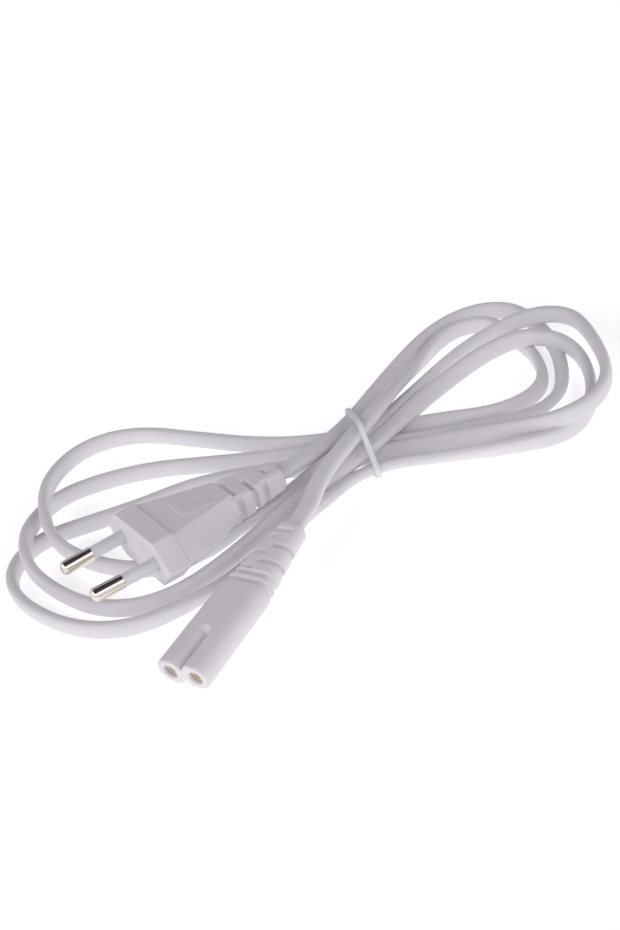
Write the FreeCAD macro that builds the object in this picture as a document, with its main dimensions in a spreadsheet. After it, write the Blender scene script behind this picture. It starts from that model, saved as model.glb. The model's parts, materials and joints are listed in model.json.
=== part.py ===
"""A mains lead: a figure-eight connector, a two-pin plug and the looped two-core cable between them.

Millimetres, +Z up. The origin lies on the floor under the middle of the connector, whose mouth faces -Y.
The connector and the plug are each drawn in a frame of their own, with Y running from the front to the rear.
"""
import FreeCAD
import Part
import math
import os
import Sketcher
from FreeCAD import Placement, Rotation, Vector

doc = FreeCAD.newDocument("mains_lead")

# Driving dimensions: the connector, its inside, the plug, its inside, the cable and the tie
DIMENSIONS = (
    ("fit_clearance", 0.05),
    ("seat_clearance", 0.15),
    ("cut_margin", 2.0),
    ("hole_pitch", 8.0),
    ("lobe_radius", 3.95),
    ("valley_length", 13.9),
    ("valley_end_radius", 2.3),
    ("valley_end_floor_radius", 0.4),
    ("valley_floor_half_width", 0.3),
    ("valley_flank_radius", 4.7),
    ("web_half_height", 1.7),
    ("mouth_wall", 1.2),
    ("mouth_hole_radius", 1.95),
    ("mouth_lip", 0.5),
    ("mouth_inset", 0.35),
    ("barrel_length", 28.3),
    ("barrel_end_half_width", 7.6),
    ("neck_length", 5.7),
    ("neck_half_width", 6.7),
    ("neck_half_height", 3.6),
    ("tail_length", 19.5),
    ("tail_half_width", 4.2),
    ("tail_half_height", 2.9),
    ("tail_bevel", 0.7),
    ("tail_side_bevel", 1.3),
    ("band_count", 2),
    ("band_gap", 1.7),
    ("band_pitch", 2.7),
    ("band_width", 1.6),
    ("band_depth", 0.7),
    ("slit_count", 5),
    ("slit_gap", 0.6),
    ("slit_pitch", 3.0),
    ("slit_width", 1.4),
    ("slit_depth", 1.3),
    ("slit_middle", -0.5),
    ("end_slit_half_length", 2.7),
    ("end_slit_depth", 0.6),
    ("core_radius", 2.7),
    ("core_length", 18.8),
    ("core_bore_radius", 1.45),
    ("core_web_half_height", 0.7),
    ("contact_inset", 2.8),
    ("contact_bore_radius", 1.22),
    ("contact_bore_length", 12.0),
    ("contact_floor", 2.0),
    ("crimp_radius", 1.0),
    ("crimp_length", 6.0),
    ("wire_radius", 0.8),
    ("wire_half_pitch", 1.0),
    ("wire_trim", 0.4),
    ("connector_cable_entry", 5.0),
    ("connector_pitch_angle", 3.47),
    ("face_half_width", 17.65),
    ("face_flat_half_width", 10.4),
    ("face_half_height", 6.85),
    ("collar_length", 6.3),
    ("collar_round", 0.8),
    ("shoulder_half_width", 17.0),
    ("shoulder_flat_half_width", 10.5),
    ("shoulder_half_height", 6.15),
    ("grip_length", 21.7),
    ("grip_end_half_width", 8.2),
    ("grip_end_flat_half_width", 4.8),
    ("grip_end_half_height", 4.75),
    ("cheek_length", 7.3),
    ("cheek_half_width", 16.7),
    ("waist_length", 11.8),
    ("waist_half_width", 15.2),
    ("flank_length", 15.2),
    ("flank_half_width", 12.8),
    ("taper_length", 18.7),
    ("taper_half_width", 9.9),
    ("relief_overlap", 1.5),
    ("relief_length", 17.2),
    ("relief_start_half_width", 7.4),
    ("relief_start_half_height", 4.3),
    ("relief_end_half_width", 4.4),
    ("relief_end_half_height", 3.3),
    ("relief_corner", 2.0),
    ("relief_bevel", 0.7),
    ("notch_count", 2),
    ("notch_first", 0.1),
    ("notch_pitch", 8.8),
    ("notch_width", 2.0),
    ("notch_depth", 1.6),
    ("groove_width", 1.6),
    ("groove_depth", 0.9),
    ("neck_groove_place", 0.1),
    ("neck_groove_half_length", 4.6),
    ("rear_groove_place", 12.2),
    ("rear_groove_half_length", 1.8),
    ("side_slit_place", 5.4),
    ("side_slit_depth", 1.2),
    ("side_slit_start", -0.4),
    ("pad_start", 6.6),
    ("pad_length", 2.4),
    ("pad_half_width", 4.4),
    ("pad_height", 0.25),
    ("ridge_count", 9),
    ("ridge_pitch", 0.84),
    ("ridge_width", 0.42),
    ("pin_half_pitch", 9.3),
    ("pin_tip_half_pitch", 8.75),
    ("pin_reach", 19.0),
    ("pin_radius", 2.0),
    ("pin_round", 1.2),
    ("pin_neck_radius", 1.5),
    ("pin_head_radius", 2.4),
    ("pin_head_length", 1.5),
    ("pin_tail_length", 4.0),
    ("sleeve_reach", 9.8),
    ("sleeve_radius", 1.8),
    ("bridge_front", 3.0),
    ("bridge_length", 7.0),
    ("bridge_half_width", 12.5),
    ("bridge_half_height", 3.0),
    ("plug_cable_entry", 8.0),
    ("plug_turn_angle", -22.3),
    ("plug_pitch_angle", -4.8),
    ("plug_x", -34.2),
    ("plug_y", 3.4),
    ("plug_z", 12.1),
    ("cable_radius", 2.0),
    ("cable_sides", 6),
    ("cable_lead_out", 6.5),
    ("cable_run_share", 0.45),
    ("tie_x", -2.7),
    ("tie_y", 66.6),
    ("tie_turn_angle", -42.6),
    ("tie_width", 1.5),
    ("tie_thickness", 0.7),
    ("tie_gap", 2.6),
    ("tie_base_left", 8.4),
    ("tie_base_right", 10.2),
    ("tie_crown_right", 3.0),
    ("tie_crown_height", 11.8),
    ("tie_side_left", 11.2),
    ("tie_side_height", 7.1),
)
sheet = doc.addObject("Spreadsheet::Sheet", "dim")
for row, (alias, number) in enumerate(DIMENSIONS, start=1):
    sheet.set(f"A{row}", alias)
    sheet.set(f"B{row}", str(number))
    sheet.setAlias(f"B{row}", alias)
doc.recompute()

ACROSS = Rotation(Vector(1, 0, 0), 90)
ALONG = Rotation(Vector(1, 0, 0), -90)
HERE = Placement()
SAME_PLACE = 1e-4


def value(text):
    """What an expression of the sheet's dimensions comes to, as a number."""
    return float(sheet.evalExpression(text))


def bind(feature, **texts):
    """Tie a feature's sizes, and its place along x, y and z, to expressions of the sheet."""
    for name, text in texts.items():
        path = f"Placement.Base.{name}" if name in ("x", "y", "z") else name
        feature.setExpression(path, text)
    return feature


def block(name, across, along, up):
    """A box between a low and a high expression on each axis."""
    box = doc.addObject("Part::Box", name)
    bind(box, x=across[0], y=along[0], z=up[0])
    return bind(
        box,
        Length=f"{across[1]} - ({across[0]})",
        Width=f"{along[1]} - ({along[0]})",
        Height=f"{up[1]} - ({up[0]})",
    )


def rod(name, start, end, radius, frame=HERE):
    """A round rod on a frame's Y axis between two expressions."""
    cylinder = doc.addObject("Part::Cylinder", name)
    cylinder.Placement = frame * Placement(Vector(0, value(start), 0), ALONG)
    return bind(cylinder, Radius=radius, Height=f"{end} - ({start})")


def stick(name, start, end, radius, trim="0"):
    """A round rod between two places, each given as expressions of x and y, trimmed at both ends."""
    first = Vector(value(start[0]), value(start[1]), 0)
    last = Vector(value(end[0]), value(end[1]), 0)
    turn = Rotation(Vector(0, 0, 1), last - first)
    cylinder = doc.addObject("Part::Cylinder", name)
    cylinder.Placement = Placement(first, turn) * Placement(Vector(0, 0, value(trim)), Rotation())
    span = f"sqrt(({end[0]} - ({start[0]}))^2 + ({end[1]} - ({start[1]}))^2)"
    return bind(cylinder, Radius=radius, Height=f"{span} - 2 * {trim}")


def fuse(name, shapes):
    """Several shapes joined into one."""
    joined = doc.addObject("Part::MultiFuse", name)
    joined.Shapes = shapes
    return joined


def cut(name, base, tool):
    """A base with a tool taken away."""
    rest = doc.addObject("Part::Cut", name)
    rest.Base = base
    rest.Tool = tool
    return rest


def loft(name, outlines):
    """A solid drawn straight from each outline to the next."""
    solid = doc.addObject("Part::Loft", name)
    solid.Sections = outlines
    solid.Solid = True
    solid.Ruled = True
    return solid


def facets(name, outlines):
    """A solid with flat faces drawn from each outline's corners to the next one's."""
    doc.recompute()
    rings = [[vertex.Point for vertex in outline.Shape.OrderedVertexes] for outline in outlines]
    faces = [Part.Face(outlines[end].Shape.Wires[0]) for end in (0, -1)]
    for ring, following in zip(rings, rings[1:]):
        for side in range(len(ring)):
            here, there = ring[side - 1], ring[side]
            beyond_here, beyond_there = following[side - 1], following[side]
            triangles = [(here, there, beyond_there), (here, beyond_there, beyond_here)]
            if here.distanceToPoint(beyond_there) > there.distanceToPoint(beyond_here):
                triangles = [(here, there, beyond_here), (there, beyond_there, beyond_here)]
            faces += [Part.Face(Part.makePolygon([*corners, corners[0]])) for corners in triangles]
    solid = doc.addObject("Part::Feature", name)
    solid.Shape = Part.makeSolid(Part.makeShell(faces)).removeSplitter()
    return solid


def wedge(name, along, start, end):
    """A four-sided form that tapers from one half-width and half-height to another along Y."""
    form = doc.addObject("Part::Wedge", name)
    for axis, first, last in zip("XZ", start, end):
        for bound, sign in (("min", "-"), ("max", "")):
            bind(form, **{f"{axis}{bound}": f"{sign}({first})", f"{axis}2{bound}": f"{sign}({last})"})
    return bind(form, Ymin=along[0], Ymax=along[1])


def edged(kind, name, base, amount, chosen):
    """A base with the edges that a test chooses rounded by a fillet or bevelled by a chamfer."""
    doc.recompute()
    dressed = doc.addObject(f"Part::{kind}", name)
    dressed.Base = base
    size = value(amount)
    numbered = enumerate(base.Shape.Edges, start=1)
    dressed.Edges = [(number, size, size) for number, edge in numbered if chosen(edge)]
    return dressed


def runs_along(edge):
    """A test for edges that run from front to rear."""
    return edge.BoundBox.YLength > SAME_PLACE


def lies_at(station):
    """A test for edges that lie wholly at one place along Y."""
    place = value(station)
    return lambda edge: abs(edge.BoundBox.YMin - place) + abs(edge.BoundBox.YMax - place) < SAME_PLACE


def new_sketch(name, station):
    """An empty sketch across the Y axis."""
    sketch = doc.addObject("Sketcher::SketchObject", name)
    sketch.Placement = Placement(Vector(), ACROSS)
    return bind(sketch, y=station)


def measure(sketch, kind, where, text):
    """A dimension of a sketch, tied to an expression."""
    index = sketch.addConstraint(Sketcher.Constraint(kind, *where, value(text)))
    sketch.setExpression(f"Constraints[{index}]", text)


def obround(name, station, half_width, half_height):
    """A slot-shaped outline, round at both sides."""
    sketch = new_sketch(name, station)
    middle = f"{half_width} - ({half_height})"
    reach = value(middle)
    radius = value(half_height)
    right = Part.Circle(Vector(reach, 0, 0), Vector(0, 0, 1), radius)
    left = Part.Circle(Vector(-reach, 0, 0), Vector(0, 0, 1), radius)
    sketch.addGeometry(Part.ArcOfCircle(right, -math.pi / 2, math.pi / 2))
    sketch.addGeometry(Part.ArcOfCircle(left, math.pi / 2, 3 * math.pi / 2))
    for height in (radius, -radius):
        sketch.addGeometry(Part.LineSegment(Vector(-reach, height, 0), Vector(reach, height, 0)))
    for joint in ((0, 2, 2, 2), (1, 1, 2, 1), (1, 2, 3, 1), (0, 1, 3, 2)):
        sketch.addConstraint(Sketcher.Constraint("Tangent", *joint))
    sketch.addConstraint(Sketcher.Constraint("Symmetric", 0, 3, 1, 3, -1, 1))
    sketch.addConstraint(Sketcher.Constraint("PointOnObject", 0, 3, -1))
    sketch.addConstraint(Sketcher.Constraint("Equal", 0, 1))
    measure(sketch, "Radius", (0,), half_height)
    measure(sketch, "DistanceX", (-1, 1, 0, 3), middle)
    return sketch


def hexagon(name, station, half_width, flat_half_width, half_height):
    """A six-sided outline with a flat top, a flat bottom and a corner at mid-height on each side."""
    sketch = new_sketch(name, station)
    wide = value(half_width)
    flat = value(flat_half_width)
    high = value(half_height)
    corners = [(wide, 0), (flat, high), (-flat, high), (-wide, 0), (-flat, -high), (flat, -high)]
    for this, following in zip(corners, corners[1:] + corners[:1]):
        sketch.addGeometry(Part.LineSegment(Vector(*this, 0), Vector(*following, 0)))
    for side in range(6):
        sketch.addConstraint(Sketcher.Constraint("Coincident", side, 2, (side + 1) % 6, 1))
    sketch.addConstraint(Sketcher.Constraint("PointOnObject", 0, 1, -1))
    for one, other, mirror in ((0, 3, -2), (1, 2, -2), (5, 1, -1), (4, 2, -1)):
        sketch.addConstraint(Sketcher.Constraint("Symmetric", one, 1, other, 1, mirror))
    measure(sketch, "DistanceX", (-1, 1, 0, 1), half_width)
    measure(sketch, "DistanceX", (-1, 1, 1, 1), flat_half_width)
    measure(sketch, "DistanceY", (-1, 1, 1, 1), half_height)
    return sketch


def between(start, end, share):
    """A size part of the way from one expression to another."""
    return f"({start} + ({end} - ({start})) * ({share}))"


pieces = []


def finish(feature, label, frame):
    """Name a finished piece and put it where it lies."""
    feature.Label = label
    feature.Placement = frame
    pieces.append(feature)


SIDES = (("left", -1), ("right", 1))

# The connector rests on the lower edge of its mouth, with its tail a little raised
tilt = math.radians(value("dim.connector_pitch_angle"))
connector_end = "(dim.barrel_length + dim.neck_length + dim.tail_length)"
connector_frame = Placement(
    Vector(
        0,
        -value(connector_end) * math.cos(tilt) / 2,
        value("dim.lobe_radius") * math.cos(tilt) - value("dim.mouth_lip") * math.sin(tilt),
    ),
    Rotation(Vector(1, 0, 0), value("dim.connector_pitch_angle")),
)

# Outer form of the connector: a slot-shaped barrel that narrows through a neck to the tail
neck_end = "(dim.barrel_length + dim.neck_length)"
mouth_half_width = "(dim.hole_pitch / 2 + dim.lobe_radius)"
BARREL_END = ("barrel_end", "dim.barrel_length", "dim.barrel_end_half_width", "dim.lobe_radius")
NECK = ("neck", neck_end, "dim.neck_half_width", "dim.neck_half_height")
TAIL = ("tail", f"{connector_end} - dim.tail_bevel", "dim.tail_half_width", "dim.tail_half_height")
end_slit_start = f"({neck_end} + dim.slit_gap + dim.slit_count * dim.slit_pitch)"
end_slit_stop = f"({end_slit_start} + dim.slit_width)"


def tail_station(name, place):
    """An outline on the straight taper between the neck and the tail."""
    share = f"({place} - {NECK[1]}) / ({TAIL[1]} - {NECK[1]})"
    return (name, place, between(NECK[2], TAIL[2], share), between(NECK[3], TAIL[3], share))


STATIONS = (
    ("lip", "0", f"{mouth_half_width} - dim.mouth_inset", "dim.lobe_radius - dim.mouth_inset"),
    ("mouth", "dim.mouth_lip", mouth_half_width, "dim.lobe_radius"),
    BARREL_END,
    NECK,
    tail_station("end_slit_front", end_slit_start),
    tail_station("end_slit_rear", end_slit_stop),
    TAIL,
    (
        "tail_end",
        connector_end,
        "dim.tail_half_width - dim.tail_side_bevel",
        "dim.tail_half_height - dim.tail_bevel",
    ),
)
hull = loft("connector_hull", [obround(f"{name}_outline", *rest) for name, *rest in STATIONS])


def floor_form(name, depth, stations):
    """The connector's outer form drawn in by a depth, where its grooves and slits stop."""
    outlines = []
    for station, place, half_width, half_height in stations:
        inset = (f"{half_width} - {depth}", f"{half_height} - {depth}")
        outlines.append(obround(f"{name}_{station}", place, *inset))
    return loft(name, outlines)


beyond = "(dim.hole_pitch / 2 + dim.lobe_radius + dim.cut_margin)"
cutters = []

# Valleys between the two lobes, above and below, each ending in a sloped round
flank_x = "(dim.valley_floor_half_width + sqrt(dim.valley_flank_radius^2 - dim.web_half_height^2))"
valley_straight = "(dim.valley_length - dim.valley_end_radius)"
valley_depth = "(dim.lobe_radius - dim.web_half_height)"
half = "dim.valley_end_radius"
for level, turn in (("upper", 0), ("lower", 180)):
    straight = block(
        f"{level}_valley_straight",
        (f"-{half}", half),
        ("-dim.cut_margin", valley_straight),
        ("dim.web_half_height", "dim.lobe_radius + dim.cut_margin"),
    )
    round_end = doc.addObject("Part::Cone", f"{level}_valley_end")
    bind(round_end, Radius1="dim.valley_end_floor_radius", Radius2=half, Height=valley_depth)
    bind(round_end, y=valley_straight, z="dim.web_half_height")
    flanks = []
    for side, sign in SIDES:
        frame = Placement(Vector(sign * value(flank_x), 0, 0), Rotation())
        reach = ("-2 * dim.cut_margin", "dim.valley_length + dim.cut_margin")
        flanks.append(rod(f"{level}_{side}_flank", *reach, "dim.valley_flank_radius", frame))
    plan = fuse(f"{level}_valley_plan", [straight, round_end])
    valley = cut(f"{level}_valley", plan, fuse(f"{level}_flanks", flanks))
    valley.Placement = Placement(Vector(), Rotation(Vector(0, 1, 0), turn))
    cutters.append(valley)

# Two shallow bands round the neck
bands = []
around = (f"-{beyond}", beyond)
for index in range(int(value("dim.band_count"))):
    start = f"(dim.barrel_length + dim.band_gap + {index} * dim.band_pitch)"
    bands.append(block(f"band_{index}", around, (start, f"{start} + dim.band_width"), around))
band_floor = floor_form("band_floor", "dim.band_depth", (BARREL_END, NECK, TAIL))
cutters.append(cut("neck_bands", fuse("band_slabs", bands), band_floor))

# Slits that let the tail bend, from the left and the right in turn, and a short one at its end
slits = []
for index in range(int(value("dim.slit_count"))):
    start = f"({neck_end} + dim.slit_gap + {index} * dim.slit_pitch)"
    across = (f"-{beyond}", "dim.slit_middle") if index % 2 == 0 else ("dim.slit_middle", beyond)
    slits.append(block(f"slit_{index}", across, (start, f"{start} + dim.slit_width"), around))
slit_floor = floor_form("slit_floor", "dim.slit_depth", (NECK, TAIL))
cutters.append(cut("tail_slits", fuse("slit_slabs", slits), slit_floor))
end_slab = block(
    "end_slit",
    ("-dim.end_slit_half_length", "dim.end_slit_half_length"),
    (end_slit_start, end_slit_stop),
    around,
)
end_slit_floor = floor_form("end_slit_floor", "dim.end_slit_depth", (NECK, TAIL))
cutters.append(cut("end_slits", end_slab, end_slit_floor))

# What the connector's moulding closes round: the core, the crimped contacts, the wires and the cable's end
core_end = "(dim.mouth_wall + dim.core_length)"
contact_start = "(dim.mouth_wall + dim.contact_inset)"
contact_rear = f"({contact_start} + dim.contact_bore_length + dim.contact_floor)"
crimp_end = f"({contact_rear} + dim.crimp_length)"
connector_cable_end = f"({connector_end} - dim.connector_cable_entry)"
contact_radius = "(dim.core_bore_radius - dim.fit_clearance)"
room = "dim.fit_clearance"
for side, sign in SIDES:
    lobe = Placement(Vector(sign * value("dim.hole_pitch / 2"), 0, 0), Rotation())
    wire_start = (f"{sign} * dim.hole_pitch / 2", crimp_end)
    wire_stop = (f"{sign} * dim.wire_half_pitch", connector_cable_end)
    cutters.append(rod(f"mouth_hole_{side}", "-dim.cut_margin", core_end, "dim.mouth_hole_radius", lobe))
    core_reach = ("dim.mouth_wall", f"{core_end} + {room}")
    cutters.append(rod(f"core_room_{side}", *core_reach, f"dim.core_radius + {room}", lobe))
    crimp_reach = (core_end, f"{crimp_end} + 2 * {room}")
    cutters.append(rod(f"crimp_room_{side}", *crimp_reach, f"{contact_radius} + {room}", lobe))
    cutters.append(stick(f"connector_wire_room_{side}", wire_start, wire_stop, f"dim.wire_radius + {room}"))

    shell = rod(f"contact_shell_{side}", contact_start, contact_rear, contact_radius, lobe)
    crimp = rod(f"contact_crimp_{side}", contact_rear, crimp_end, "dim.crimp_radius", lobe)
    bore_end = f"{contact_start} + dim.contact_bore_length"
    bore = rod(f"contact_bore_{side}", "0", bore_end, "dim.contact_bore_radius", lobe)
    contact = cut(f"contact_{side}", fuse(f"contact_solid_{side}", [shell, crimp]), bore)
    finish(contact, f"contact_{side}", connector_frame)

    wire = stick(f"connector_wire_{side}", wire_start, wire_stop, "dim.wire_radius", "dim.wire_trim")
    finish(wire, f"connector_wire_{side}", connector_frame * wire.Placement)

half = "(dim.hole_pitch / 2)"
web_room = f"(dim.core_web_half_height + {room})"
cutters.append(block("core_web_room", (f"-{half}", half), core_reach, (f"-{web_room}", web_room)))
bore_radius = f"dim.cable_radius + {room}"
tail_reach = (connector_cable_end, f"{connector_end} + dim.cut_margin")
cutters.append(rod("connector_cable_room", *tail_reach, bore_radius))
connector_body = cut("connector_body", hull, fuse("connector_cutters", cutters))
finish(connector_body, "connector_body", connector_frame)

# The core: two tubes and a web, in one hard moulding that holds the contacts in line
tubes = []
core_bores = []
for side, sign in SIDES:
    lobe = Placement(Vector(sign * value("dim.hole_pitch / 2"), 0, 0), Rotation())
    tubes.append(rod(f"core_tube_{side}", f"dim.mouth_wall + {room}", core_end, "dim.core_radius", lobe))
    through = ("0", f"{core_end} + dim.cut_margin")
    core_bores.append(rod(f"core_bore_{side}", *through, "dim.core_bore_radius", lobe))
tubes.append(
    block(
        "core_web",
        (f"-{half}", half),
        (f"dim.mouth_wall + {room}", core_end),
        ("-dim.core_web_half_height", "dim.core_web_half_height"),
    )
)
core = cut("connector_core", fuse("core_solid", tubes), fuse("core_bores", core_bores))
finish(core, "connector_core", connector_frame)

# The plug lies on the cable with its pins a little raised
plug_turn = Rotation(Vector(0, 0, 1), value("dim.plug_turn_angle"))
plug_pitch = Rotation(Vector(1, 0, 0), value("dim.plug_pitch_angle"))
plug_place = Vector(value("dim.plug_x"), value("dim.plug_y"), value("dim.plug_z"))
plug_frame = Placement(plug_place, plug_turn * plug_pitch)

# Outer form of the plug: a six-sided collar, a grip that narrows to the rear and a strain relief
collar_end = "dim.collar_length"
grip_end = "(dim.collar_length + dim.grip_length)"
plug_end = f"({grip_end} + dim.relief_length)"
FACE = ("dim.face_half_width", "dim.face_flat_half_width", "dim.face_half_height")
collar_ends = [hexagon("face_outline", "0", *FACE), hexagon("collar_outline", collar_end, *FACE)]
collar = edged("Fillet", "collar", facets("collar_form", collar_ends), "dim.collar_round", runs_along)
grip_outlines = []
for name, along, half_width in (
    ("shoulder", "0", "dim.shoulder_half_width"),
    ("cheek", "dim.cheek_length", "dim.cheek_half_width"),
    ("waist", "dim.waist_length", "dim.waist_half_width"),
    ("flank", "dim.flank_length", "dim.flank_half_width"),
    ("taper", "dim.taper_length", "dim.taper_half_width"),
    ("grip_end", "dim.grip_length", "dim.grip_end_half_width"),
):
    share = f"{along} / dim.grip_length"
    flat = between("dim.shoulder_flat_half_width", "dim.grip_end_flat_half_width", share)
    height = between("dim.shoulder_half_height", "dim.grip_end_half_height", share)
    grip_outlines.append(hexagon(f"{name}_outline", f"{collar_end} + {along}", half_width, flat, height))
grip = facets("grip_form", grip_outlines)
relief_start = f"({grip_end} - dim.relief_overlap)"
RELIEF_START = ("dim.relief_start_half_width", "dim.relief_start_half_height")
RELIEF_END = ("dim.relief_end_half_width", "dim.relief_end_half_height")
relief_reach = (relief_start, plug_end)
relief = wedge("relief_form", relief_reach, RELIEF_START, RELIEF_END)
relief = edged("Fillet", "relief_rounded", relief, "dim.relief_corner", runs_along)
relief = edged("Chamfer", "relief", relief, "dim.relief_bevel", lies_at(plug_end))

# The thumb grip: a raised pad and a row of fine ridges that follow the slope of the top
slope = "((dim.shoulder_half_height - dim.grip_end_half_height) / dim.grip_length)"
pads = []
for index in range(int(value("dim.ridge_count")) + 1):
    start = "dim.pad_start"
    long = "dim.pad_length"
    if index:
        start = f"dim.pad_start + dim.pad_length + {index} * dim.ridge_pitch - dim.ridge_width"
        long = "dim.ridge_width"
    pad = doc.addObject("Part::Box", f"grip_pad_{index}")
    pad.Placement = Placement(Vector(), Rotation(Vector(1, 0, 0), -math.degrees(math.atan(value(slope)))))
    surface = f"(dim.shoulder_half_height - {slope} * ({start}))"
    bind(pad, x="-dim.pad_half_width", y=f"{collar_end} + {start}", z=f"{surface} - dim.pad_height")
    bind(pad, Length="2 * dim.pad_half_width", Width=long, Height="2 * dim.pad_height")
    pads.append(pad)
plug_solid = fuse("plug_solid", [collar, grip, relief] + pads)

# Notches in both sides of the strain relief, grooves above and below, and a slit round its right side
plug_cutters = []
outside = "(dim.relief_start_half_width + dim.cut_margin)"
for index in range(int(value("dim.notch_count"))):
    start = f"({grip_end} + dim.notch_first + {index} * dim.notch_pitch)"
    share = f"({start} - {relief_start}) / ({plug_end} - {relief_start})"
    inner = f"({between(RELIEF_START[0], RELIEF_END[0], share)} - dim.notch_depth)"
    along = (start, f"{start} + dim.notch_width")
    height = (f"-{outside}", outside)
    plug_cutters.append(block(f"notch_left_{index}", (f"-{outside}", f"-{inner}"), along, height))
    plug_cutters.append(block(f"notch_right_{index}", (inner, outside), along, height))
for name, place, half in (
    ("neck_groove", "dim.neck_groove_place", "dim.neck_groove_half_length"),
    ("rear_groove", "dim.rear_groove_place", "dim.rear_groove_half_length"),
):
    start = f"({grip_end} + {place})"
    share = f"({start} - {relief_start}) / ({plug_end} - {relief_start})"
    inner = f"({between(RELIEF_START[1], RELIEF_END[1], share)} - dim.groove_depth)"
    along = (start, f"{start} + dim.groove_width")
    plug_cutters.append(block(f"{name}_upper", (f"-{half}", half), along, (inner, outside)))
    plug_cutters.append(block(f"{name}_lower", (f"-{half}", half), along, (f"-{outside}", f"-{inner}")))
start = f"({grip_end} + dim.side_slit_place)"
along = (start, f"{start} + dim.groove_width")
side_slab = block("side_slit_slab", ("dim.side_slit_start", outside), along, (f"-{outside}", outside))
insets = ([f"{size} - dim.side_slit_depth" for size in sizes] for sizes in (RELIEF_START, RELIEF_END))
slit_core = wedge("side_slit_floor", relief_reach, *insets)
plug_cutters.append(cut("side_slit", side_slab, slit_core))

# The pins lean towards each other; each is turned in one piece, with a sleeve over its root
lean_ratio = "((dim.pin_half_pitch - dim.pin_tip_half_pitch) / dim.pin_reach)"
lean = math.degrees(math.atan(value(lean_ratio)))
bridge_rear = "(dim.bridge_front + dim.bridge_length)"
head_end = f"({bridge_rear} + dim.pin_head_length)"
pin_end = f"({head_end} + dim.pin_tail_length)"
plug_cable_end = f"({plug_end} - dim.plug_cable_entry)"
neck_hole = f"(dim.pin_neck_radius + {room})"
sleeve_end = "(dim.bridge_front - dim.seat_clearance)"
bridge_holes = []
rim = "dim.pin_round * (1 - sqrt(0.5))"


def rod_end(name, start, end, first_radius, last_radius):
    """A short cone on the Y axis, counted back from the pin's end."""
    cone = doc.addObject("Part::Cone", name)
    cone.Placement = Placement(Vector(0, value(f"{start} - dim.pin_reach"), 0), ALONG)
    return bind(cone, Radius1=first_radius, Radius2=last_radius, Height=f"{end} - ({start})")


for side, sign in SIDES:
    pin_root = Vector(sign * value("dim.pin_half_pitch"), 0, 0)
    axis = Placement(pin_root, Rotation(Vector(0, 0, 1), -sign * lean))
    tip = rod(f"pin_tip_{side}", "dim.pin_round - dim.pin_reach", "-dim.sleeve_reach", "dim.pin_radius")
    nose = rod_end(f"pin_nose_{side}", "0", rim, "dim.pin_radius - dim.pin_round", f"dim.pin_radius - {rim}")
    brow = rod_end(f"pin_brow_{side}", rim, "dim.pin_round", f"dim.pin_radius - {rim}", "dim.pin_radius")
    neck = rod(f"pin_neck_{side}", "-dim.sleeve_reach", head_end, "dim.pin_neck_radius")
    head = rod(f"pin_head_{side}", f"{bridge_rear} + dim.seat_clearance", head_end, "dim.pin_head_radius")
    tail = rod(f"pin_tail_{side}", head_end, pin_end, "dim.crimp_radius")
    pin = fuse(f"pin_{side}", [nose, brow, tip, neck, head, tail])
    finish(pin, f"pin_{side}", plug_frame * axis)

    tube = rod(f"sleeve_tube_{side}", f"-dim.sleeve_reach + {room}", sleeve_end, "dim.sleeve_radius")
    hole = rod(f"sleeve_hole_{side}", "-dim.pin_reach", bridge_rear, neck_hole)
    sleeve = cut(f"pin_sleeve_{side}", tube, hole)
    finish(sleeve, f"pin_sleeve_{side}", plug_frame * axis)

    bridge_holes.append(rod(f"bridge_hole_{side}", "0", f"{bridge_rear} + dim.cut_margin", neck_hole, axis))
    sleeve_room = f"dim.sleeve_radius + {room}"
    sleeve_reach = ("-dim.cut_margin", "dim.bridge_front")
    plug_cutters.append(rod(f"sleeve_room_{side}", *sleeve_reach, sleeve_room, axis))
    head_room = f"dim.pin_head_radius + {room}"
    plug_cutters.append(rod(f"head_room_{side}", bridge_rear, f"{head_end} + {room}", head_room, axis))
    tail_room = f"dim.crimp_radius + {room}"
    plug_cutters.append(rod(f"tail_room_{side}", head_end, f"{pin_end} + 2 * {room}", tail_room, axis))

    spread = f"(dim.pin_half_pitch + {pin_end} * {lean_ratio})"
    wire_start = (f"{sign} * {spread}", pin_end)
    wire_stop = (f"{sign} * dim.wire_half_pitch", plug_cable_end)
    plug_cutters.append(stick(f"plug_wire_room_{side}", wire_start, wire_stop, f"dim.wire_radius + {room}"))
    wire = stick(f"plug_wire_{side}", wire_start, wire_stop, "dim.wire_radius", "dim.wire_trim")
    finish(wire, f"plug_wire_{side}", plug_frame * wire.Placement)

# The bridge is the hard bar inside the plug that holds the two pins
bridge_bar = block(
    "bridge_bar",
    ("-dim.bridge_half_width", "dim.bridge_half_width"),
    ("dim.bridge_front", bridge_rear),
    ("-dim.bridge_half_height", "dim.bridge_half_height"),
)
bridge = cut("plug_bridge", bridge_bar, fuse("bridge_holes", bridge_holes))
finish(bridge, "plug_bridge", plug_frame)
wide = f"(dim.bridge_half_width + {room})"
tall = f"(dim.bridge_half_height + {room})"
along = (f"dim.bridge_front - {room}", f"{bridge_rear} + {room}")
plug_cutters.append(block("bridge_room", (f"-{wide}", wide), along, (f"-{tall}", tall)))
plug_cutters.append(rod("plug_cable_room", plug_cable_end, f"{plug_end} + dim.cut_margin", bore_radius))
plug_body = cut("plug_body", plug_solid, fuse("plug_cutters", plug_cutters))
finish(plug_body, "plug_body", plug_frame)

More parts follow.
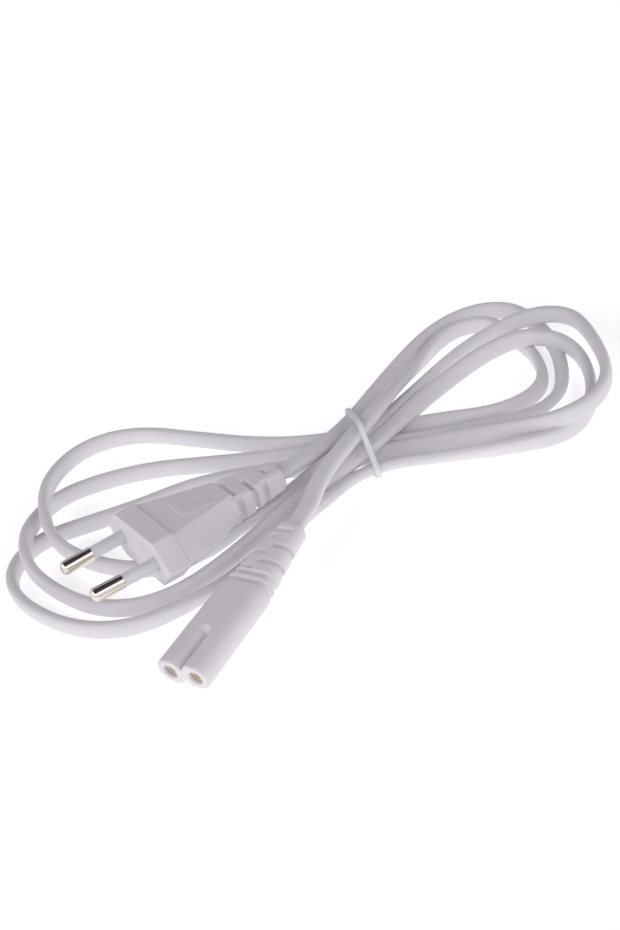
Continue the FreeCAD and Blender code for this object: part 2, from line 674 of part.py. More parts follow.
# The cable's route from the plug to the connector: four far loops and three near ones, tied where they cross
FIRST_FAR_LOOP = [
    (-9.5, 69, 7.2), (-11.5, 92, 5.8), (-13.5, 118, 3.6), (-11, 131, 2.65), (-4.5, 138.5, 2.65),
    (5, 141, 2.65), (16.5, 136, 2.65), (31, 122.5, 2.65), (40.5, 106, 2.65), (40, 96, 2.65),
    (33.5, 88.5, 2.5), (24, 83.5, 2.3), (13, 77.5, 2.6), (1, 71.5, 2.8),
]
MIDDLE_NEAR_LOOP = [
    (-13, 64, 2.8), (-29, 57.5, 2.5), (-47.5, 50.5, 2.65), (-65.5, 44, 2.65), (-79, 34.5, 2.7),
    (-86, 25.5, 3), (-84, 12, 5.2), (-77, 1, 7.9), (-68.5, -7, 7), (-58, -10.5, 4.6),
    (-43, -12, 2.65), (-29.5, -8.5, 2.65), (-21, 0, 2.65), (-16, 12.5, 2.65), (-13, 28, 2.65),
    (-9.5, 43.5, 2.8), (-2.5, 55, 5.3),
]
FOURTH_FAR_LOOP = [
    (2, 65, 7.1), (4.5, 81.5, 6.9), (7.5, 100.5, 5.8), (14.5, 112, 8), (22.5, 121, 8.2),
    (35, 121.5, 7), (45.5, 113.5, 4), (53, 97.5, 2.65), (51, 85, 2.65), (38.5, 77, 2.65),
    (23.5, 70, 2.4), (10, 64, 2.8), (0.5, 56, 2.85),
]
OUTER_NEAR_LOOP = [
    (-3.5, 41.5, 2), (-7.5, 24.5, 2), (-11.5, 7, 2.1), (-17, -5, 2.65), (-26.5, -16, 2.65),
    (-41.5, -20.5, 2.65), (-60.5, -18, 2.65), (-74, -11.5, 2.65), (-79.5, -2, 2.65), (-78, 8.5, 2.65),
    (-69, 17, 2.65), (-57, 28, 2.65), (-45, 42, 2.5), (-28.5, 50.5, 2.5), (-12, 58, 2.8),
]
THIRD_FAR_LOOP = [
    (2.5, 66, 2.8), (17, 75, 2.4), (33.5, 81.5, 3.6), (46.5, 84.5, 6.3), (53.8, 89.6, 7.9),
    (56.8, 98.3, 8.2), (53, 110.5, 8.2), (39.2, 126.8, 8.2), (30.5, 133, 8.2), (20.5, 132, 8.2),
    (13, 124, 8.2), (6, 113, 7.2), (1, 98, 6.2), (-0.3, 81.5, 6.9), (-2, 68, 7.4),
]
UPPER_NEAR_LOOP = [
    (-7, 56.5, 6.5), (-15, 45.5, 2.1), (-19.5, 29.5, 2.4), (-25, 15, 2.65), (-36, 5, 2.65),
    (-52.5, 2.5, 3.2), (-67, 3, 7.2), (-80.5, 14, 9.2), (-89.5, 28, 8.4), (-93, 47.5, 4.6),
    (-81.5, 59, 2.8), (-56, 60.5, 2.65), (-36, 62, 2.5), (-19.5, 66, 2.8),
]
SECOND_FAR_LOOP = [
    (-5.5, 74, 2.8), (11.5, 83.5, 2.6), (25.5, 89, 2.65), (33.5, 97.5, 2.65), (34, 107.8, 2.65),
    (24.5, 119.5, 2.65), (12.5, 127.5, 2.65), (3.5, 133, 2.65), (-6, 129.5, 2.65), (-8.6, 119.6, 3.4),
    (-6.6, 108.5, 5), (-4.5, 96, 7.6), (-2.4, 84, 10.7), (-0.8, 71, 11.9), (-1.4, 57, 11.6),
    (-3.3, 45, 8.9),
]
loops = FIRST_FAR_LOOP + MIDDLE_NEAR_LOOP + FOURTH_FAR_LOOP + OUTER_NEAR_LOOP
loops += THIRD_FAR_LOOP + UPPER_NEAR_LOOP + SECOND_FAR_LOOP


def on_axis(frame, text):
    """The place on a frame's Y axis that an expression gives."""
    return frame.multVec(Vector(0, value(text), 0))


route = [on_axis(plug_frame, plug_cable_end), on_axis(plug_frame, f"{plug_end} + dim.cable_lead_out")]
route += [Vector(*point) for point in loops]
route.append(on_axis(connector_frame, f"{connector_end} + dim.cable_lead_out"))
route.append(on_axis(connector_frame, connector_cable_end))


def cable_path(points):
    """Straight runs joined by tangent arcs, each as large as its two runs allow, and the arcs' radii."""
    edges = []
    radii = []
    start = points[0]
    for before, corner, after in zip(points, points[1:], points[2:]):
        back = before - corner
        ahead = after - corner
        reach = value("dim.cable_run_share") * min(back.Length, ahead.Length)
        back.normalize()
        ahead.normalize()
        half_turn = (math.pi - back.getAngle(ahead)) / 2
        radius = reach / math.tan(half_turn)
        inward = back + ahead
        inward.normalize()
        arc_start = corner + back * reach
        arc_middle = corner + inward * radius * (1 / math.cos(half_turn) - 1)
        arc_end = corner + ahead * reach
        edges.append(Part.LineSegment(start, arc_start).toShape())
        edges.append(Part.Arc(arc_start, arc_middle, arc_end).toShape())
        radii.append(radius)
        start = arc_end
    edges.append(Part.LineSegment(start, points[-1]).toShape())
    return Part.Wire(edges), radii


path, bend_radii = cable_path(route)
cable_radius = value("dim.cable_radius")
cable_sides = int(value("dim.cable_sides"))
outward = Rotation(Vector(0, 0, 1), route[1] - route[0])
rim = []
for index in range(cable_sides):
    angle = 2 * math.pi * index / cable_sides
    rim.append(route[0] + outward.multVec(Vector(math.cos(angle), math.sin(angle), 0)) * cable_radius)
section = Part.makePolygon(rim + rim[:1])
cable = doc.addObject("Part::Feature", "cable")
cable.Shape = path.makePipeShell([section], True, False)
finish(cable, "cable", HERE)

# The tie is a flat strip bent round the bundle where the loops cross, with its ends twisted out of sight
tie_line = new_sketch("tie_line", "0")
tie_floor = "dim.tie_thickness + dim.tie_gap"
TIE_CORNERS = (
    (-1, "dim.tie_base_left", tie_floor),
    (1, "dim.tie_base_right", tie_floor),
    (1, "dim.tie_crown_right", "dim.tie_crown_height"),
    (-1, "dim.tie_side_left", "dim.tie_side_height"),
)
corners = [Vector(sign * value(across), value(height), 0) for sign, across, height in TIE_CORNERS]
for this, following in zip(corners, corners[1:] + corners[:1]):
    tie_line.addGeometry(Part.LineSegment(this, following))
for side, (sign, across, height) in enumerate(TIE_CORNERS):
    tie_line.addConstraint(Sketcher.Constraint("Coincident", side, 2, (side + 1) % 4, 1))
    measure(tie_line, "DistanceX", (-1, 1, side, 1) if sign > 0 else (side, 1, -1, 1), across)
    measure(tie_line, "DistanceY", (-1, 1, side, 1), height)
tie_forms = []
for name, away in (("tie_outside", "dim.tie_gap + dim.tie_thickness"), ("tie_inside", "dim.tie_gap")):
    ring = doc.addObject("Part::Offset2D", f"{name}_line")
    ring.Source = tie_line
    bind(ring, Value=away)
    form = doc.addObject("Part::Extrusion", name)
    form.Base = ring
    form.DirMode = "Custom"
    form.Dir = Vector(0, 1, 0)
    form.FaceMakerClass = "Part::FaceMakerSimple"
    form.Solid = True
    form.Symmetric = True
    bind(form, LengthFwd="dim.tie_width")
    tie_forms.append(form)
tie_frame = Placement(
    Vector(value("dim.tie_x"), value("dim.tie_y"), 0),
    Rotation(Vector(0, 0, 1), value("dim.tie_turn_angle")),
)
finish(cut("wire_tie", *tie_forms), "wire_tie", tie_frame)

# Every feature must have been built, and every piece must be one sound solid
doc.recompute()
for feature in doc.Objects:
    if "Invalid" in feature.State or "Error" in feature.State:
        raise RuntimeError(f"{feature.Label} was not built: {feature.State}")
for piece in pieces:
    shape = piece.Shape
    if shape.isNull() or not shape.isValid() or len(shape.Solids) != 1:
        raise RuntimeError(f"{piece.Label} is not one sound solid")

print("cable length", round(path.Length, 1))
print("cable bend radii", [round(radius, 1) for radius in bend_radii])
plain_volume = Part.Face(section).Area * path.Length
print("cable volume over section times length", round(cable.Shape.Volume / plain_volume, 4))

os.makedirs("parts", exist_ok=True)
for piece in pieces:
    piece.Shape.exportStep(f"parts/{piece.Label}.step")
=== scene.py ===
import json
import math

import bmesh
import bpy
from mathutils import Matrix, Vector


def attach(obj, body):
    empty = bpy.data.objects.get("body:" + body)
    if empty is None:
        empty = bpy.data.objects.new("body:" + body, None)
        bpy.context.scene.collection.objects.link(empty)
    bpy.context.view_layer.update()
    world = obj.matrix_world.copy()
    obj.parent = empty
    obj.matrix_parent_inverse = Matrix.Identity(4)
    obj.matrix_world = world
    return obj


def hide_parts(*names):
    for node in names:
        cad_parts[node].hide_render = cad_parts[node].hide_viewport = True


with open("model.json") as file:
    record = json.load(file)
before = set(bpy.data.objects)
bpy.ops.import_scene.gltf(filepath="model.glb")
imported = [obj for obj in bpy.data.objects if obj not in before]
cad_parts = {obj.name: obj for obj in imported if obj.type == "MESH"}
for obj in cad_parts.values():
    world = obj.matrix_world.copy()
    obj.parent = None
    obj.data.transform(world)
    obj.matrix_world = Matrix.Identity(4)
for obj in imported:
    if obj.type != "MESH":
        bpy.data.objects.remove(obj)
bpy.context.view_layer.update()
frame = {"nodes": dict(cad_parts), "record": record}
nodes = frame["nodes"]
mounts = {mount["name"]: mount for mount in frame["record"]["mounts"]}
MM = 0.001

# The connector's body is one soft white vinyl moulding, shot round the hard core with its two contacts.
# The mould leaves a satin skin, edges that are nowhere sharp and a faint cloudiness in the colour.
# Its slit tail is the strain relief, in one piece with the barrel.
CONNECTOR_DETAIL = 0.22 * MM
CONNECTOR_SOFTNESS = 8
VINYL_PALE = (0.78, 0.755, 0.785, 1)
VINYL_SHADED = (0.745, 0.72, 0.75, 1)


def grained(name, pale, shaded, cloud, grain, depth, smooth, rough):
    """A material with slow clouds of two close tones, and a fine grain in its height and its gloss."""
    material = bpy.data.materials.new(name)
    material.use_nodes = True
    tree = material.node_tree
    surface = tree.nodes["Principled BSDF"]
    place = tree.nodes.new("ShaderNodeTexCoord")
    clouds = tree.nodes.new("ShaderNodeTexNoise")
    clouds.inputs["Scale"].default_value = 1 / cloud
    tones = tree.nodes.new("ShaderNodeValToRGB")
    tones.color_ramp.elements[0].position = 0.35
    tones.color_ramp.elements[0].color = shaded
    tones.color_ramp.elements[1].position = 0.65
    tones.color_ramp.elements[1].color = pale
    fine = tree.nodes.new("ShaderNodeTexNoise")
    fine.inputs["Scale"].default_value = 1 / grain
    gloss = tree.nodes.new("ShaderNodeMapRange")
    gloss.inputs["To Min"].default_value = smooth
    gloss.inputs["To Max"].default_value = rough
    bump = tree.nodes.new("ShaderNodeBump")
    bump.inputs["Strength"].default_value = 0.4
    bump.inputs["Distance"].default_value = depth
    tree.links.new(place.outputs["Object"], clouds.inputs["Vector"])
    tree.links.new(place.outputs["Object"], fine.inputs["Vector"])
    tree.links.new(clouds.outputs["Fac"], tones.inputs["Fac"])
    tree.links.new(tones.outputs["Color"], surface.inputs["Base Color"])
    tree.links.new(fine.outputs["Fac"], gloss.inputs["Value"])
    tree.links.new(gloss.outputs["Result"], surface.inputs["Roughness"])
    tree.links.new(fine.outputs["Fac"], bump.inputs["Height"])
    tree.links.new(bump.outputs["Normal"], surface.inputs["Normal"])
    return material


def finish_in(piece, material):
    """Give a piece one material all over."""
    piece.data.materials.clear()
    piece.data.materials.append(material)


def soften(piece, detail, passes):
    """Round a moulded piece's edges: fine even facets first, then smoothing."""
    facets = piece.modifiers.new("even_facets", "REMESH")
    facets.mode = "VOXEL"
    facets.voxel_size = detail
    facets.use_smooth_shade = True
    rounding = piece.modifiers.new("soft_edges", "SMOOTH")
    rounding.factor = 0.5
    rounding.iterations = passes


vinyl = grained(
    "white_vinyl", pale=VINYL_PALE, shaded=VINYL_SHADED,
    cloud=14 * MM, grain=0.25 * MM, depth=0.02 * MM, smooth=0.40, rough=0.52,
)
finish_in(nodes["connector_body"], vinyl)
soften(nodes["connector_body"], CONNECTOR_DETAIL, CONNECTOR_SOFTNESS)

# The core is a hard ivory moulding with two tubes, which holds the contacts in line inside the connector.
# Only the rims of its bores show, through the holes of the mouth. The plug's bridge is the same plastic.
IVORY_PALE = (0.84, 0.74, 0.60, 1)
IVORY_SHADED = (0.78, 0.68, 0.54, 1)
ivory = grained(
    "ivory_plastic", pale=IVORY_PALE, shaded=IVORY_SHADED,
    cloud=6 * MM, grain=0.2 * MM, depth=0.01 * MM, smooth=0.35, rough=0.5,
)
finish_in(nodes["connector_core"], ivory)
finish_in(nodes["plug_bridge"], ivory)

# The contacts are sleeves rolled from tinned brass strip and pressed into the core.
# They lie behind the core's bores and show only as a glint deep in the mouth's holes.
TIN_PALE = (0.84, 0.78, 0.66, 1)
TIN_SHADED = (0.76, 0.70, 0.58, 1)
tin = grained(
    "tinned_brass", pale=TIN_PALE, shaded=TIN_SHADED,
    cloud=3 * MM, grain=0.1 * MM, depth=0.005 * MM, smooth=0.22, rough=0.4,
)
tin.node_tree.nodes["Principled BSDF"].inputs["Metallic"].default_value = 1
for side in ("left", "right"):
    finish_in(nodes[f"contact_{side}"], tin)

# The cable's two cores run on inside both mouldings: copper strands in brown and in blue insulation.
# They lead to the contacts and to the pins' tails, and no side of the lead shows them.
BROWN_PALE = (0.24, 0.13, 0.07, 1)
BROWN_SHADED = (0.19, 0.10, 0.05, 1)
BLUE_PALE = (0.06, 0.17, 0.46, 1)
BLUE_SHADED = (0.05, 0.13, 0.38, 1)
brown = grained(
    "brown_core", pale=BROWN_PALE, shaded=BROWN_SHADED,
    cloud=5 * MM, grain=0.2 * MM, depth=0.01 * MM, smooth=0.4, rough=0.55,
)
blue = grained(
    "blue_core", pale=BLUE_PALE, shaded=BLUE_SHADED,
    cloud=5 * MM, grain=0.2 * MM, depth=0.01 * MM, smooth=0.4, rough=0.55,
)
for end in ("connector", "plug"):
    finish_in(nodes[f"{end}_wire_left"], brown)
    finish_in(nodes[f"{end}_wire_right"], blue)

# The plug is moulded from the same white vinyl round the bridge, the pins and the cable's end.
# A step runs round behind its six-sided collar, fine ridges on top give the thumb a hold,
# and its notched rear end bends with the cable. The sides of the grip swell softly, without a break.
PLUG_DETAIL = 0.15 * MM
PLUG_SOFTNESS = 1
EDGE_SOFTNESS = 6
PLUG_FACES_KEPT = 0.35
PLUG_PLACE = Vector((-34.2, 3.4, 12.1)) * MM
PLUG_TURN = math.radians(-22.3)
PLUG_PITCH = math.radians(-4.8)
GRIP_SOFTNESS = 300
GRIP_START = 6.9 * MM
GRIP_END = 27.6 * MM
GRIP_FLAT_START = 10.5 * MM
GRIP_FLAT_END = 4.8 * MM
NECK_SOFTNESS = 30
NECK_END = 30.6 * MM
RIDGES_START = 12.5 * MM
RIDGES_END = 23.3 * MM
RIDGES_HALF_WIDTH = 4.8 * MM
plug_solid = nodes["plug_body"]
plug_turn = Matrix.Rotation(PLUG_TURN, 4, "Z") @ Matrix.Rotation(PLUG_PITCH, 4, "X")
plug_frame = Matrix.Translation(PLUG_PLACE) @ plug_turn
vinyl_plug = bpy.data.objects.new("vinyl_plug", plug_solid.data.copy())
vinyl_plug.matrix_world = plug_solid.matrix_world
bpy.context.scene.collection.objects.link(vinyl_plug)
soften(vinyl_plug, PLUG_DETAIL, PLUG_SOFTNESS)
bpy.context.view_layer.update()
softened_plug = vinyl_plug.evaluated_get(bpy.context.evaluated_depsgraph_get())
soft_mesh = bpy.data.meshes.new_from_object(softened_plug)
vinyl_plug.modifiers.clear()
vinyl_plug.data = soft_mesh
shape = bmesh.new()
shape.from_mesh(soft_mesh)
to_plug = plug_frame.inverted() @ vinyl_plug.matrix_world
grip_side = []
neck = []
plain = []
for vertex in shape.verts:
    across, along, height = to_plug @ vertex.co
    flat = GRIP_FLAT_START + (GRIP_FLAT_END - GRIP_FLAT_START) * (along - GRIP_START) / (GRIP_END - GRIP_START)
    if GRIP_START < along < GRIP_END and abs(across) > flat:
        grip_side.append(vertex)
    if GRIP_END < along < NECK_END:
        neck.append(vertex)
    if abs(across) > RIDGES_HALF_WIDTH or not RIDGES_START < along < RIDGES_END:
        plain.append(vertex)
for group, passes in ((plain, EDGE_SOFTNESS), (grip_side, GRIP_SOFTNESS), (neck, NECK_SOFTNESS)):
    for step in range(passes):
        bmesh.ops.smooth_vert(shape, verts=group, factor=0.5, use_axis_x=True, use_axis_y=True, use_axis_z=True)
shape.to_mesh(soft_mesh)
shape.free()
thinning = vinyl_plug.modifiers.new("fewer_faces", "DECIMATE")
thinning.ratio = PLUG_FACES_KEPT
finish_in(vinyl_plug, vinyl)
soft_mesh.shade_smooth()
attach(vinyl_plug, "root")
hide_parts("plug_body")

# The sleeves are a harder white plastic, moulded over the root of each pin.
# They are a little thinner than the bare metal in front of them, and run back into the collar.
SLEEVE_PALE = (0.76, 0.75, 0.79, 1)
SLEEVE_SHADED = (0.72, 0.71, 0.75, 1)
sleeve_white = grained(
    "sleeve_white", pale=SLEEVE_PALE, shaded=SLEEVE_SHADED,
    cloud=9 * MM, grain=0.2 * MM, depth=0.01 * MM, smooth=0.32, rough=0.42,
)
sleeves = [nodes["pin_sleeve_left"], nodes["pin_sleeve_right"]]
for sleeve in sleeves:
    finish_in(sleeve, sleeve_white)

# The pins are turned brass with bright nickel plate, rounded at the tip and bare in front of the sleeves.
# Each is one piece with the thinner neck under its sleeve, the flange behind the bridge and the crimped tail.
PIN_TIP_ROUND = 1.2 * MM
PIN_RIM_ROUND = 0.2 * MM
PIN_NECK_RADIUS = 1.5 * MM
PIN_HEAD_RADIUS = 2.4 * MM
PIN_HEAD_FRONT = 23.95 * MM
PIN_HEAD_REAR = 25.3 * MM
PIN_TAIL_RADIUS = 1.0 * MM
PIN_TAIL_REAR = 29.3 * MM
PIN_TURNS = 64
ROUND_STEPS = 8
SHARP_ANGLE = math.radians(40)
NICKEL_PALE = (0.86, 0.81, 0.72, 1)
NICKEL_SHADED = (0.80, 0.75, 0.66, 1)
TURNING_SCALE = 900
TURNING_WANDER = 2
TURNING_STRENGTH = 0.08
TURNING_DEPTH = 0.004 * MM
nickel = grained(
    "bright_nickel", pale=NICKEL_PALE, shaded=NICKEL_SHADED,
    cloud=4 * MM, grain=0.08 * MM, depth=0.002 * MM, smooth=0.07, rough=0.16,
)
plate = nickel.node_tree
plate.nodes["Principled BSDF"].inputs["Metallic"].default_value = 1
turning = plate.nodes.new("ShaderNodeTexWave")
turning.bands_direction = "Y"
turning.inputs["Scale"].default_value = TURNING_SCALE
turning.inputs["Distortion"].default_value = TURNING_WANDER
turning_marks = plate.nodes.new("ShaderNodeBump")
turning_marks.inputs["Strength"].default_value = TURNING_STRENGTH
turning_marks.inputs["Distance"].default_value = TURNING_DEPTH
plate.links.new(plate.nodes["Texture Coordinate"].outputs["Object"], turning.inputs["Vector"])
plate.links.new(turning.outputs["Fac"], turning_marks.inputs["Height"])
plate.links.new(turning_marks.outputs["Normal"], plate.nodes["Bump"].inputs["Normal"])


def turned_pin(name, mount):
    """A pin turned on the Y axis of its own frame, whose origin is the middle of the bare round stretch."""
    radius = mount["dims"]["r_mm"] * MM
    half = mount["dims"]["length_mm"] * MM / 2
    profile = [(-half - PIN_TIP_ROUND, 0)]
    for step in range(ROUND_STEPS + 1):
        angle = math.pi / 2 * step / ROUND_STEPS
        along = -half - PIN_TIP_ROUND * math.cos(angle)
        profile.append((along, radius - PIN_TIP_ROUND + PIN_TIP_ROUND * math.sin(angle)))
    for step in range(ROUND_STEPS + 1):
        angle = math.pi / 2 * step / ROUND_STEPS
        along = half - PIN_RIM_ROUND + PIN_RIM_ROUND * math.sin(angle)
        profile.append((along, radius - PIN_RIM_ROUND + PIN_RIM_ROUND * math.cos(angle)))
    profile += [(half, PIN_NECK_RADIUS), (PIN_HEAD_FRONT, PIN_NECK_RADIUS), (PIN_HEAD_FRONT, PIN_HEAD_RADIUS)]
    profile += [(PIN_HEAD_REAR, PIN_HEAD_RADIUS), (PIN_HEAD_REAR, PIN_TAIL_RADIUS)]
    profile += [(PIN_TAIL_REAR, PIN_TAIL_RADIUS), (PIN_TAIL_REAR, 0)]
    shape = bmesh.new()
    line = [shape.verts.new((0, along, out)) for along, out in profile]
    edges = [shape.edges.new(pair) for pair in zip(line, line[1:])]
    bmesh.ops.spin(
        shape, geom=line + edges, cent=(0, 0, 0), axis=(0, 1, 0), angle=2 * math.pi, steps=PIN_TURNS, use_merge=True
    )
    bmesh.ops.remove_doubles(shape, verts=shape.verts, dist=1e-7)
    bmesh.ops.recalc_face_normals(shape, faces=shape.faces)
    mesh = bpy.data.meshes.new(name)
    shape.to_mesh(mesh)
    shape.free()
    mesh.shade_smooth()
    mesh.set_sharp_from_angle(angle=SHARP_ANGLE)
    mesh.materials.append(nickel)
    pin = bpy.data.objects.new(name, mesh)
    front = Vector(mount["axis"])
    pin.matrix_world = Matrix.Translation(mount["pos_m"]) @ (-front).to_track_quat("Y", "Z").to_matrix().to_4x4()
    bpy.context.scene.collection.objects.link(pin)
    return pin


for side in ("left", "right"):
    pin = turned_pin(f"nickel_pin_{side}", mounts[f"plug_pin_{side}"])
    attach(pin, "root")
    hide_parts(f"pin_{side}")

# The cable is a flat two-core lead with a soft white vinyl sheath, about one and a half metres long.
# It is laid in long loops, three near the plug and four at the far side, crossing under the tie.
# Its section is an oval that stands on edge where the loops turn and lies flat where it enters the mouldings.
CABLE_WIDTH = 5.3 * MM
CABLE_THICKNESS = 3.3 * MM
OVAL_POINTS = 28
OVAL_SQUARENESS = 2.6
# A route point is x, y and z in millimetres and the section's lean in degrees.
EDGE = 0
FLAT = 90
CABLE_ROUTE = [
    # inside the plug's relief, then the first far loop
    (-20.134, 37.697, 8.987, FLAT), (-14.651, 51.066, 7.774, FLAT), (-9.5, 69, 7.2, 70),
    (-11.5, 92, 5.8, 50), (-13.5, 118, 3.6, 30), (-11, 131, 2.65, 15), (-4.5, 138.5, 2.65, 10),
    (5, 141, 2.65, 10), (16.5, 136, 2.65, 10), (31, 122.5, 2.65, 20), (40.5, 106, 2.65, 40),
    (40, 96, 2.65, 60), (33.5, 88.5, 2.5, FLAT), (24, 83.5, 2.3, FLAT), (13, 77.5, 2.6, 70),
    (1, 71.5, 2.8, 50),
    # the middle near loop
    (-13, 64, 2.8, 30), (-29, 57.5, 2.7, EDGE), (-47.5, 50.5, 2.7, EDGE), (-65.5, 44, 2.7, EDGE),
    (-79, 34.5, 2.7, EDGE), (-86, 25.5, 3, EDGE), (-84, 12, 5.2, EDGE), (-77, 1, 7.9, EDGE),
    (-68.5, -7, 7, EDGE), (-58, -10.5, 4.6, EDGE), (-43, -12, 2.7, EDGE), (-29.5, -8.5, 2.7, EDGE),
    (-21, 0, 2.7, EDGE), (-16, 12.5, 2.7, EDGE), (-13, 28, 2.7, EDGE), (-9.5, 43.5, 2.8, 30),
    (-2.5, 55, 5.3, 60),
    # the fourth far loop
    (2, 65, 7.1, FLAT), (4.5, 81.5, 6.9, 60), (7.5, 100.5, 5.8, 30), (14.5, 112, 8, 10),
    (22.5, 121, 8.2, EDGE), (35, 121.5, 7, EDGE), (45.5, 113.5, 4, EDGE), (53, 97.5, 2.7, EDGE),
    (51, 85, 2.7, EDGE), (38.5, 77, 2.7, 20), (23.5, 70, 2.5, 40), (10, 64, 2.8, 50),
    (0.5, 56, 2.85, 60),
    # the outer near loop
    (-3.5, 41.5, 2.1, 70), (-7.5, 24.5, 2.1, 65), (-11.5, 7, 2.3, 50), (-17, -5, 2.7, 20),
    (-26.5, -16, 2.7, EDGE), (-41.5, -20.5, 2.7, EDGE), (-60.5, -18, 2.7, EDGE), (-74, -11.5, 2.7, EDGE),
    (-79.5, -2, 2.7, EDGE), (-78, 8.5, 2.7, EDGE), (-69, 17, 2.7, EDGE), (-57, 28, 2.7, EDGE),
    (-45, 42, 2.7, EDGE), (-28.5, 50.5, 2.7, EDGE), (-12, 58, 2.8, 30),
    # the third far loop
    (2.5, 66, 2.8, 50), (17, 75, 2.5, 50), (33.5, 81.5, 3.6, 30), (46.5, 84.5, 6.3, 10),
    (53.8, 89.6, 7.9, EDGE), (56.8, 98.3, 8.2, EDGE), (53, 110.5, 8.2, EDGE), (39.2, 126.8, 8.2, EDGE),
    (30.5, 133, 8.2, EDGE), (20.5, 132, 8.2, EDGE), (13, 124, 8.2, 10), (6, 113, 7.2, 20),
    (1, 98, 6.2, 40), (-0.3, 81.5, 6.9, 70), (-2, 68, 7.4, FLAT),
    # the upper near loop
    (-7, 56.5, 6.5, FLAT), (-15, 45.5, 2.2, FLAT), (-19.5, 29.5, 2.5, 45), (-25, 15, 2.7, EDGE),
    (-36, 5, 2.7, EDGE), (-52.5, 2.5, 3.2, EDGE), (-67, 3, 7.2, EDGE), (-80.5, 14, 9.2, EDGE),
    (-89.5, 28, 8.4, EDGE), (-93, 47.5, 4.6, EDGE), (-81.5, 59, 2.8, EDGE), (-56, 60.5, 2.7, EDGE),
    (-36, 62, 2.7, EDGE), (-19.5, 66, 2.8, 20),
    # the second far loop, then over the tied bundle into the connector's relief
    (-5.5, 74, 2.8, 50), (11.5, 83.5, 2.6, 30), (25.5, 89, 2.7, 10), (33.5, 97.5, 2.7, EDGE),
    (34, 107.8, 2.7, EDGE), (24.5, 119.5, 2.7, EDGE), (12.5, 127.5, 2.7, EDGE), (3.5, 133, 2.7, EDGE),
    (-6, 129.5, 2.7, EDGE), (-8.6, 119.6, 3.4, EDGE), (-6.6, 108.5, 5, 20), (-4.5, 96, 7.6, 50),
    (-2.4, 84, 10.7, 70), (-0.8, 71, 11.9, FLAT), (-1.4, 57, 11.6, FLAT), (-3.3, 45, 8.9, FLAT),
    (0, 33.189, 7.545, FLAT), (0, 21.710, 6.849, FLAT),
]
oval = bpy.data.curves.new("cable_section", "CURVE")
oval.dimensions = "2D"
oval_line = oval.splines.new("POLY")
oval_line.points.add(OVAL_POINTS - 1)
for index, point in enumerate(oval_line.points):
    turn = 2 * math.pi * index / OVAL_POINTS
    across = math.copysign(abs(math.cos(turn)) ** (2 / OVAL_SQUARENESS), math.cos(turn))
    up = math.copysign(abs(math.sin(turn)) ** (2 / OVAL_SQUARENESS), math.sin(turn))
    point.co = (across * CABLE_THICKNESS / 2, up * CABLE_WIDTH / 2, 0, 1)
oval_line.use_cyclic_u = True
section = bpy.data.objects.new("cable_section", oval)

sheath_line = bpy.data.curves.new("cable_sheath", "CURVE")
sheath_line.dimensions = "3D"
sheath_line.twist_mode = "Z_UP"
sheath_line.resolution_u = 8
run = sheath_line.splines.new("NURBS")
run.points.add(len(CABLE_ROUTE) - 1)
for point, (x, y, z, lean) in zip(run.points, reversed(CABLE_ROUTE)):
    point.co = (x * MM, y * MM, z * MM, 1)
    point.tilt = math.radians(lean)
run.order_u = 3
run.use_endpoint_u = True
sheath_line.bevel_mode = "OBJECT"
sheath_line.bevel_object = section
sheath_line.use_fill_caps = True
sheath = bpy.data.objects.new("cable_sheath", sheath_line)
bpy.context.scene.collection.objects.link(sheath)
SHEATH_PALE = (0.76, 0.74, 0.77, 1)
SHEATH_SHADED = (0.72, 0.70, 0.735, 1)
cable_vinyl = grained(
    "cable_vinyl", pale=SHEATH_PALE, shaded=SHEATH_SHADED,
    cloud=22 * MM, grain=0.3 * MM, depth=0.02 * MM, smooth=0.40, rough=0.52,
)
sheath_line.materials.append(cable_vinyl)
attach(sheath, "root")
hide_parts("cable")

# The tie is a strip of soft white plastic with a wire in it, bent round the bundle where the loops cross.
# It is a closed ring here, because the photo doesn't show its twisted ends.
TIE_DETAIL = 0.1 * MM
TIE_SOFTNESS = 12
TIE_PALE = (0.80, 0.79, 0.82, 1)
TIE_SHADED = (0.76, 0.75, 0.78, 1)
tie_white = grained(
    "tie_white", pale=TIE_PALE, shaded=TIE_SHADED,
    cloud=7 * MM, grain=0.2 * MM, depth=0.01 * MM, smooth=0.38, rough=0.5,
)
finish_in(nodes["wire_tie"], tie_white)
soften(nodes["wire_tie"], TIE_DETAIL, TIE_SOFTNESS)

# A plain white light table carries the lead, so that hardly a shadow shows.
# It glows a little by itself and belongs to the stage, not to the lead.
TABLE_HALF = 3.0
TABLE_GLOW = 0.5
TABLE_CORNERS = ((-1, -1), (1, -1), (1, 1), (-1, 1))
table_mesh = bpy.data.meshes.new("table")
corners = [(TABLE_HALF * x, TABLE_HALF * y, 0) for x, y in TABLE_CORNERS]
table_mesh.from_pydata(corners, [], [(0, 1, 2, 3)])
table = bpy.data.objects.new("table", table_mesh)
bpy.context.scene.collection.objects.link(table)
table_white = bpy.data.materials.new("table_white")
table_white.use_nodes = True
table_skin = table_white.node_tree.nodes["Principled BSDF"].inputs
table_skin["Base Color"].default_value = (0.9, 0.9, 0.9, 1)
table_skin["Roughness"].default_value = 0.9
table_skin["Emission Color"].default_value = (1, 1, 1, 1)
table_skin["Emission Strength"].default_value = TABLE_GLOW
table_mesh.materials.append(table_white)

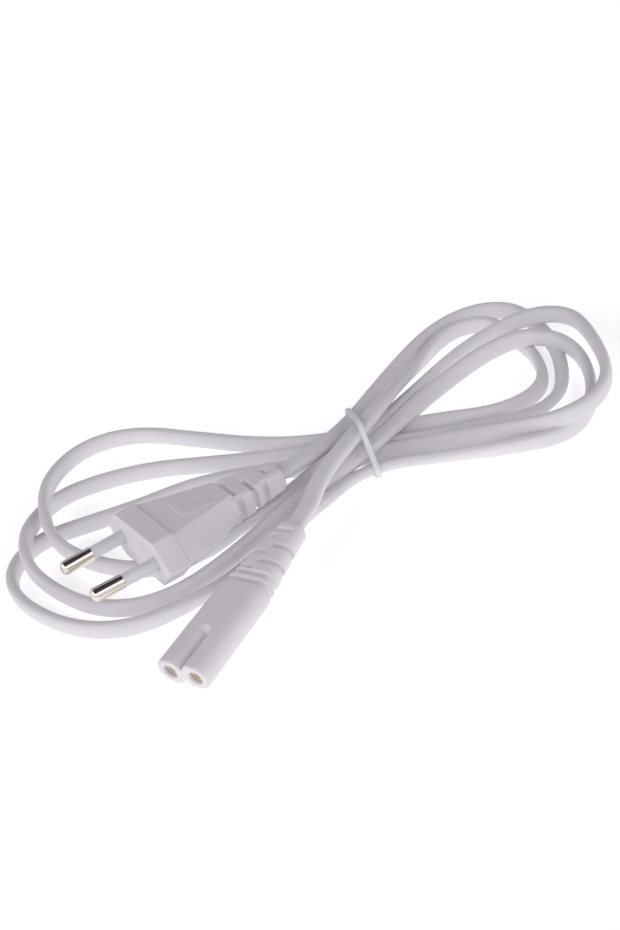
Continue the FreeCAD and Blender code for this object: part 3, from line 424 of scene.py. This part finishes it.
# The studio is a ring of wide soft panels at mid-height, dimmer at the horizon and dark overhead.
# The panels in front are the bright ones, and those behind the lead are nearly off.
# One small soft panel at the front left adds a little light of its own.
BEHIND = (-0.68, 0.73, 0)
BRIGHTNESS_IN_FRONT = 1.2
BRIGHTNESS_BEHIND = 0.25
PANEL_SIZE = 0.7
PANEL_WATTS = 1
PANEL_PLACE = Vector((-0.45, -0.65, 0.55))
PANEL_AIM = Vector((-0.02, 0.06, 0))
SKY = (
    (0.0, (0.27, 0.26, 0.28, 1)),
    (0.30, (0.87, 0.85, 0.87, 1)),
    (0.62, (1.35, 1.33, 1.35, 1)),
    (0.80, (0.05, 0.04, 0.06, 1)),
)
studio = bpy.data.worlds.new("studio")
studio.use_nodes = True
sky = studio.node_tree
direction = sky.nodes.new("ShaderNodeTexCoord")
parts = sky.nodes.new("ShaderNodeSeparateXYZ")
fade = sky.nodes.new("ShaderNodeValToRGB")
stops = fade.color_ramp.elements
while len(stops) < len(SKY):
    stops.new(1)
for stop, (height, tone) in zip(stops, SKY):
    stop.position = height
    stop.color = tone
sky.links.new(direction.outputs["Generated"], parts.inputs["Vector"])
sky.links.new(parts.outputs["Z"], fade.inputs["Fac"])
sky.links.new(fade.outputs["Color"], sky.nodes["Background"].inputs["Color"])
behind = sky.nodes.new("ShaderNodeVectorMath")
behind.operation = "DOT_PRODUCT"
behind.inputs[1].default_value = BEHIND
brightness = sky.nodes.new("ShaderNodeMapRange")
brightness.inputs["To Min"].default_value = BRIGHTNESS_IN_FRONT
brightness.inputs["To Max"].default_value = BRIGHTNESS_BEHIND
sky.links.new(direction.outputs["Generated"], behind.inputs[0])
sky.links.new(behind.outputs["Value"], brightness.inputs["Value"])
sky.links.new(brightness.outputs["Result"], sky.nodes["Background"].inputs["Strength"])
bpy.context.scene.world = studio
panel_light = bpy.data.lights.new("panel", "AREA")
panel_light.shape = "SQUARE"
panel_light.size = PANEL_SIZE
panel_light.energy = PANEL_WATTS
panel = bpy.data.objects.new("panel", panel_light)
panel.location = PANEL_PLACE
panel.rotation_mode = "QUATERNION"
panel.rotation_quaternion = (PANEL_PLACE - PANEL_AIM).to_track_quat("Z", "Y")
bpy.context.scene.collection.objects.link(panel)
bpy.context.scene.view_settings.view_transform = "Standard"

# The camera stands to the right and in front of the connector and looks down at the loops, rolled a little.
# Its place comes from a fit to the plug and the connector in the photo. The focal length is assumed.
CAMERA_AIM = Vector((-0.0181, 0.0595, 0.0005))
CAMERA_DISTANCE = 0.4564
CAMERA_AZIMUTH = math.radians(43.13)
CAMERA_ELEVATION = math.radians(33.69)
CAMERA_ROLL = math.radians(-18.44)
FOCAL_PIXELS = 1606
PICTURE_HEIGHT = 930
FILM_HEIGHT = 36
back = Vector((
    math.sin(CAMERA_AZIMUTH) * math.cos(CAMERA_ELEVATION),
    -math.cos(CAMERA_AZIMUTH) * math.cos(CAMERA_ELEVATION),
    math.sin(CAMERA_ELEVATION),
))
level_right = Vector((math.cos(CAMERA_AZIMUTH), math.sin(CAMERA_AZIMUTH), 0))
level_up = back.cross(level_right)
right = math.cos(CAMERA_ROLL) * level_right + math.sin(CAMERA_ROLL) * level_up
up = math.cos(CAMERA_ROLL) * level_up - math.sin(CAMERA_ROLL) * level_right
lens = bpy.data.cameras.new("camera")
lens.sensor_width = FILM_HEIGHT
lens.lens = FOCAL_PIXELS * FILM_HEIGHT / PICTURE_HEIGHT
lens.clip_start = 0.01
camera = bpy.data.objects.new("camera", lens)
camera.matrix_world = Matrix.Translation(CAMERA_AIM + CAMERA_DISTANCE * back) @ Matrix(
    (right, up, back)
).transposed().to_4x4()
bpy.context.scene.collection.objects.link(camera)
bpy.context.scene.camera = camera
